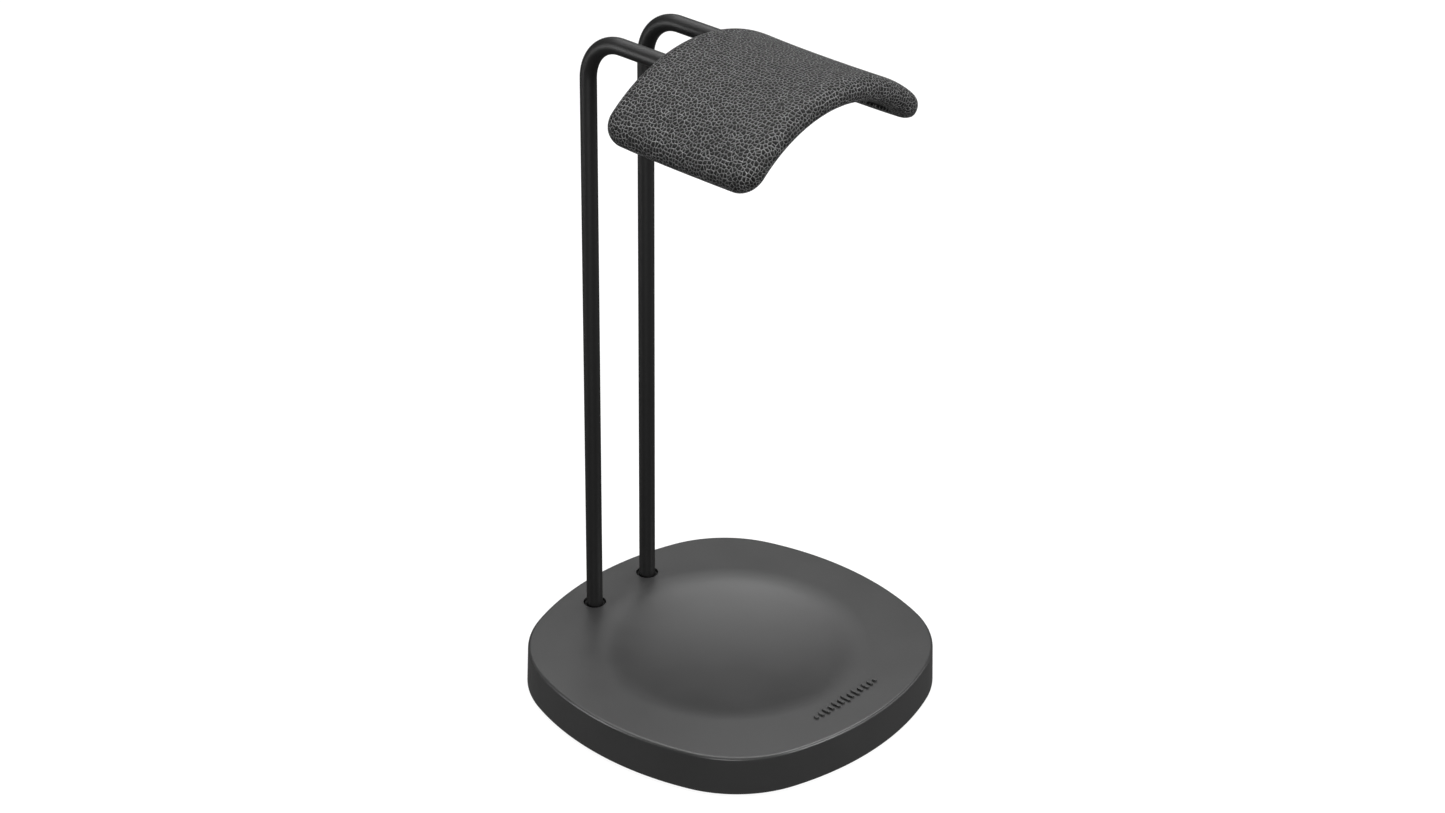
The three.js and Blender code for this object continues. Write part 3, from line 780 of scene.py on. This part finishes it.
def arch_place(node_name):
    """Where a saddle screw sits: square to the arch, its head on the plate's lower face."""
    middle = middle_of(node_name)
    angle = math.atan2(middle.x, middle.z - ARCH_CENTRE_Z - seat_height(middle.y))
    where = bent(angle * ARCH_RADIUS, middle.y, PLATE_TOP - PLATE_THICKNESS)
    return Matrix.Translation(where) @ Matrix.Rotation(angle, 4, "Y")


def build_screws(material):
    for i in (1, 2, 3, 4):
        place = middle_of(f"cover_screw_{i}")
        head = Matrix.Translation((place.x, place.y, COVER_BOTTOM))
        build_screw(f"cover_screw_{i}", COVER_SCREW_LENGTH, head, material)
        for kind, length in (("arm", ARM_SCREW_LENGTH), ("plate", PLATE_SCREW_LENGTH)):
            name = f"{kind}_screw_{i}"
            build_screw(name, length, arch_place(name), material)


# ---- Rods ----------------------------------------------------------------------------------------

def rod_ring(x, y, z, pitch, half_width, half_thickness, tilt, sides=48):
    """A rod's section: a circle, or an oval where it is pressed flat. pitch is from upright."""
    direction = Vector((0, -math.sin(pitch), math.cos(pitch)))
    across = Matrix.Rotation(tilt, 3, direction) @ Vector((1, 0, 0))
    up = direction.cross(across)
    flat = half_width - half_thickness
    ring = []
    for i in range(sides):
        angle = (i + 0.5) / sides * 2 * math.pi
        side = math.copysign(flat, math.cos(angle)) + math.cos(angle) * half_thickness
        ring.append(Vector((x, y, z)) + across * side + up * math.sin(angle) * half_thickness)
    return ring


def rod_body(name, x, y, grow=0.0):
    """A rod standing at x, y, bent forward at the top, its end pressed flat under the saddle."""
    radius = ROD_RADIUS + grow

    def round_ring(at_y, at_z, pitch):
        return rod_ring(x, at_y, at_z, pitch, radius, radius, 0)

    bend = [round_ring(y - ROD_BEND_RADIUS * (1 - math.cos(pitch)),
                       ARM_HEIGHT - ROD_BEND_RADIUS * (1 - math.sin(pitch)), pitch)
            for pitch in np.linspace(0, math.pi / 2, 29)]

    lean = math.atan2(x, ARM_HEIGHT - ARCH_CENTRE_Z)
    tab_radius = ARCH_RADIUS + PLATE_TOP + GAP + TAB_HALF_THICKNESS
    flat_x = tab_radius * math.sin(lean)
    flat_z = ARCH_CENTRE_Z + tab_radius * math.cos(lean)

    def swage_ring(share):
        start_z = flat_z + seat_height(TAB_START)
        return rod_ring(
            x + (flat_x - x) * share, TAB_START + TAB_SWAGE * (1 - share),
            ARM_HEIGHT + (start_z - ARM_HEIGHT) * share, math.pi / 2,
            radius + (TAB_HALF_WIDTH + grow - radius) * share,
            radius + (TAB_HALF_THICKNESS + grow - radius) * share, -lean * share)

    tab = [rod_ring(flat_x, at_y, flat_z + seat_height(at_y), math.pi / 2,
                    TAB_HALF_WIDTH + grow, TAB_HALF_THICKNESS + grow, -lean)
           for at_y in np.linspace(TAB_START, TAB_END - grow, 24)[1:]]
    swage = [swage_ring(share) for share in np.linspace(0, 1, 9)]
    foot = round_ring(y, ROD_FOOT - grow, 0)
    return loft(name, [foot, *bend, *swage, *tab])


def build_rods(paint, rubber):
    for side, screws in (("left", (1, 2)), ("right", (3, 4))):
        place = middle_of(f"rod_bushing_{side}")
        rod = rod_body(f"stem_rod_{side}_fine", place.x, place.y)
        holes = [peg("tap", ROD_TAP_RADIUS, ROD_FOOT - TAP_OVERCUT, ROD_FOOT + ROD_TAP_DEPTH,
                     place, sides=32)]
        for i in screws:
            hole = peg("tap", SCREW_SHANK + GAP, 0, TAB_TAP_LENGTH, sides=PILOT_SIDES)
            hole.data.transform(arch_place(f"arm_screw_{i}"))
            holes.append(hole)
        install(combined(rod, holes), paint, "black_paint", f"stem_rod_{side}")

        low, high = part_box(f"rod_bushing_{side}")
        inner = ROD_RADIUS + BUSHING_GRIP
        flange = (high.x - low.x) / 2
        neck = HOLE_RADIUS - GAP
        shoulder = SHELL_CEILING - GAP
        start = (inner, (low.z + high.z) / 2)
        profile = rounded([start, (inner, low.z), (flange, low.z), (flange, shoulder),
                           (neck, shoulder), (neck, high.z), (inner, high.z), start], BUSHING_EDGES)
        bushing = turned(f"rod_bushing_{side}_fine", profile[:-1], (place.x, place.y, 0),
                         FINE_SIDES, closed=True)
        install(bushing, rubber, "rubber", f"rod_bushing_{side}")


# ---- Saddle --------------------------------------------------------------------------------------

def saddle_grid():
    """The saddle's plan as a grid whose outer rows run parallel to its rounded outline.

    Gives the flat points, the distance of each inside the outline, the point of the straight
    middle nearest to it and its direction from there, all as 2-D arrays.
    """
    turn = np.linspace(0, math.pi / 2, EDGE_ROWS + 1)
    inside = np.concatenate([PAD_EDGE * (1 - np.cos(turn)), [SKIN_HEM, PAD_CORNER]])

    def axis(half):
        core = half - PAD_CORNER
        middle = np.linspace(-core, core, round(2 * core / GRID_STEP) + 1)[1:-1]
        ends = 1 - inside / PAD_CORNER
        reach = np.concatenate([-ends, np.zeros(len(middle)), ends[::-1]])
        place = np.concatenate([np.full(len(ends), -core), middle, np.full(len(ends), core)])
        return place, reach

    arc_place, arc_reach = axis(PAD_HALF_LENGTH)
    y_place, y_reach = axis(PAD_HALF_WIDTH)
    u, v = np.meshgrid(arc_reach, y_reach, indexing="ij")
    size = np.maximum(np.abs(u), np.abs(v))
    lesser = np.minimum(np.abs(u), np.abs(v)) / np.maximum(size, 1e-9) * math.pi / 4
    bearing = np.where(np.abs(u) >= np.abs(v), lesser, math.pi / 2 - lesser)
    nearest = np.stack(np.meshgrid(arc_place, y_place, indexing="ij"), axis=-1)
    direction = np.stack([np.cos(bearing) * np.sign(u), np.sin(bearing) * np.sign(v)], axis=-1)
    flat = nearest + direction * (PAD_CORNER * size)[..., None]
    return flat, PAD_CORNER * (1 - size), nearest, direction


def swell(inside):
    """Share of the full height at a distance inside the outline: a fuller curve than a circle's."""
    outward = 1 - np.clip(inside / PAD_EDGE, 0, 1)
    return (1 - outward ** SWELL_POWER) ** (1 / SWELL_POWER)


def leather_path(inside, thickness):
    """Length of leather from the outline to a distance inside it, over a swell this thick."""
    across = PAD_EDGE * (1 - np.cos(np.linspace(0, math.pi / 2, 200)))
    step = np.hypot(np.diff(across), np.diff(thickness * swell(across)))
    length = np.concatenate([[0], np.cumsum(step)])
    return np.interp(inside, across, length) + np.maximum(inside - PAD_EDGE, 0)


def hem_pleats(inside, direction):
    """Height of the small pleats where the hem is gathered under each rounded corner."""
    across, along = np.abs(direction[..., 0]), np.abs(direction[..., 1])
    corner = (2 * across * along) ** 2
    gathered = np.clip((inside - PLEAT_START) / PLEAT_RISE, 0, 1) * corner
    return PLEAT_HEIGHT * gathered * (0.5 - 0.5 * np.cos(4 * PLEATS * np.arctan2(along, across)))


def sheet_faces(rows, columns):
    """The quads of the sheet's two grids. Those of the lower grid face down and stop at the hem."""
    upper, lower = [], []
    for i in range(rows - 1):
        for j in range(columns - 1):
            first = i * columns + j
            quad = [first, first + columns, first + columns + 1, first + 1]
            upper.append(quad)
            if min(i, j, rows - 2 - i, columns - 2 - j) <= EDGE_ROWS:
                lower.append([rows * columns + corner for corner in reversed(quad)])
    return upper + lower


def welded(points, faces):
    """The points that are left once those in one place are joined, and the faces on them."""
    first = {}
    keep = [first.setdefault(tuple(np.round(point, 8)), i) for i, point in enumerate(points)]
    faces = [[keep[corner] for corner in face] for face in faces]
    used = sorted({corner for face in faces for corner in face})
    number = {corner: i for i, corner in enumerate(used)}
    return used, [[number[corner] for corner in face] for face in faces]


def saddle_sheet():
    """The leather as one sheet: over the top, round the edge and in under the pad to its hem.

    Its UV map "leather" is the flat piece that it was cut from, in metres. Its vertex group "held"
    says how firmly each point is glued to what is under it.
    """
    flat, inside, nearest, direction = saddle_grid()
    round_edge = leather_path(PAD_CORNER, PAD_ABOVE)
    underside = -PAD_BELOW * swell(inside) - hem_pleats(inside, direction)
    layers = [
        (PAD_ABOVE * swell(inside), round_edge - leather_path(inside, PAD_ABOVE), GLUED_TOP),
        (underside, round_edge + leather_path(inside, PAD_BELOW), GLUED_HEM),
    ]
    points, cut, held = [], [], []
    for height, path, glue in layers:
        points.append(bent(flat[..., 0], PAD_MIDDLE_Y + flat[..., 1], height).reshape(-1, 3))
        cut.append((nearest + direction * path[..., None]).reshape(-1, 2))
        held.append((glue * np.clip(inside / SKIN_HEM, 0, 1) ** 2).ravel())
    points = np.concatenate(points)
    used, faces = welded(points, sheet_faces(*inside.shape))
    cut, held = np.concatenate(cut)[used], np.concatenate(held)[used]

    mesh = bpy.data.meshes.new("saddle_cover_fine")
    mesh.from_pydata(points[used], [], faces)
    layer = mesh.uv_layers.new(name="leather")
    corners = np.empty(len(mesh.loops), int)
    mesh.loops.foreach_get("vertex_index", corners)
    layer.data.foreach_set("uv", cut[corners].astype(np.float32).ravel())
    sheet = bpy.data.objects.new("saddle_cover_fine", mesh)
    bpy.context.collection.objects.link(sheet)
    group = sheet.vertex_groups.new(name="held")
    for i, weight in enumerate(held):
        group.add([i], float(weight), "REPLACE")
    return sheet


def settle(sheet):
    """Cloth simulation: the foam presses the leather out between its glued top and its hem."""
    before = np.empty(len(sheet.data.vertices) * 3)
    sheet.data.vertices.foreach_get("co", before)
    cloth = sheet.modifiers.new("cloth", "CLOTH")
    leather = cloth.settings
    leather.quality = 8
    leather.mass = 0.001
    leather.tension_stiffness = 15
    leather.compression_stiffness = 15
    leather.shear_stiffness = 7.5
    leather.bending_stiffness = 0.5
    leather.vertex_group_mass = "held"
    leather.use_pressure = True
    leather.uniform_pressure_force = FOAM_PRESSURE
    leather.effector_weights.gravity = 0
    cloth.point_cache.frame_end = SETTLE_FRAMES
    for frame_number in range(1, SETTLE_FRAMES + 1):
        bpy.context.scene.frame_set(frame_number)
    settled = sheet.evaluated_get(bpy.context.evaluated_depsgraph_get())
    after = np.empty(len(before))
    settled.data.vertices.foreach_get("co", after)
    sheet.modifiers.clear()
    bpy.context.scene.frame_set(1)

    move = (after - before).reshape(-1, 3)
    length = np.linalg.norm(move, axis=1)
    move *= np.minimum(1, SETTLE_CAP / np.maximum(length, 1e-9))[:, None]
    sheet.data.vertices.foreach_set("co", before + move.ravel())


def build_saddle_cover(material):
    """The leather: settled as a sheet, then rounded off and given its thickness inwards."""
    sheet = saddle_sheet()
    settle(sheet)
    sheet.vertex_groups.clear()
    smooth = sheet.modifiers.new("smooth", "SUBSURF")
    smooth.levels = 1
    skin = sheet.modifiers.new("skin", "SOLIDIFY")
    skin.thickness = SKIN
    skin.offset = -1
    skin.use_even_offset = True
    passages = []
    for side in ("left", "right"):
        place = middle_of(f"rod_bushing_{side}")
        passages.append(rod_body("passage", place.x, place.y, PASSAGE_GAP))
    cover = combined(sheet, passages)
    install(cover, material, "leatherette", "saddle_cover", sharp=60)


def build_saddle_plate(material):
    """The steel plate under the saddle, with countersunk holes."""
    length = PAD_HALF_LENGTH - PLATE_INSET
    width = PAD_HALF_WIDTH - PLATE_INSET
    core = length - PLATE_CORNER
    round_end = core + PLATE_CORNER * np.sin(np.linspace(0, math.pi / 2, 6))
    arcs = np.concatenate([-round_end[::-1], np.linspace(-core, core, 72)[1:-1], round_end])
    top, bottom = PLATE_TOP, PLATE_TOP - PLATE_THICKNESS
    upper, lower = top - PLATE_EDGE, bottom + PLATE_EDGE
    rings = []
    for arc in arcs:
        into = max(abs(arc) - core, 0)
        half = width - PLATE_CORNER + math.sqrt(max(PLATE_CORNER ** 2 - into ** 2, 0))
        rows = np.linspace(-half + PLATE_EDGE, half - PLATE_EDGE, 17)
        section = ([(y, top) for y in rows[::-1]] + [(-half, upper), (-half, lower)] +
                   [(y, bottom) for y in rows] + [(half, lower), (half, upper)])
        y, w = np.array(section).T
        rings.append(bent(np.full(len(y), arc), PAD_MIDDLE_Y + y, w))
    plate = loft("saddle_plate_fine", rings)
    names = [f"{kind}_screw_{i}" for kind in ("arm", "plate") for i in (1, 2, 3, 4)]
    tools = [screw_tool(PLATE_SCREW_LENGTH, arch_place(name)) for name in names]
    install(combined(plate, tools), material, "black_paint", "saddle_plate")


# ---- Assembly ------------------------------------------------------------------------------------

add_camera()
add_studio()

soft_touch = soft_touch_material()
black_paint = black_paint_material()
black_plastic = black_plastic_material()
rubber = rubber_material()
screw_steel = screw_steel_material()
leatherette = leatherette_material()

build_base_shell(soft_touch)
build_base_mark(soft_touch)
build_base_cover(black_plastic)
build_feet(rubber)
build_rods(black_paint, rubber)
build_screws(screw_steel)
build_saddle_plate(black_paint)
build_saddle_cover(leatherette)

carried_over = {
    "base_ballast": cast_iron_material(),
    "rod_washer_left": screw_steel,
    "rod_washer_right": screw_steel,
    "rod_bolt_left": screw_steel,
    "rod_bolt_right": screw_steel,
    "saddle_former": black_plastic,
    "saddle_foam": foam_material(),
}
for name, material in carried_over.items():
    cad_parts[name].data.materials.clear()
    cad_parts[name].data.materials.append(material)
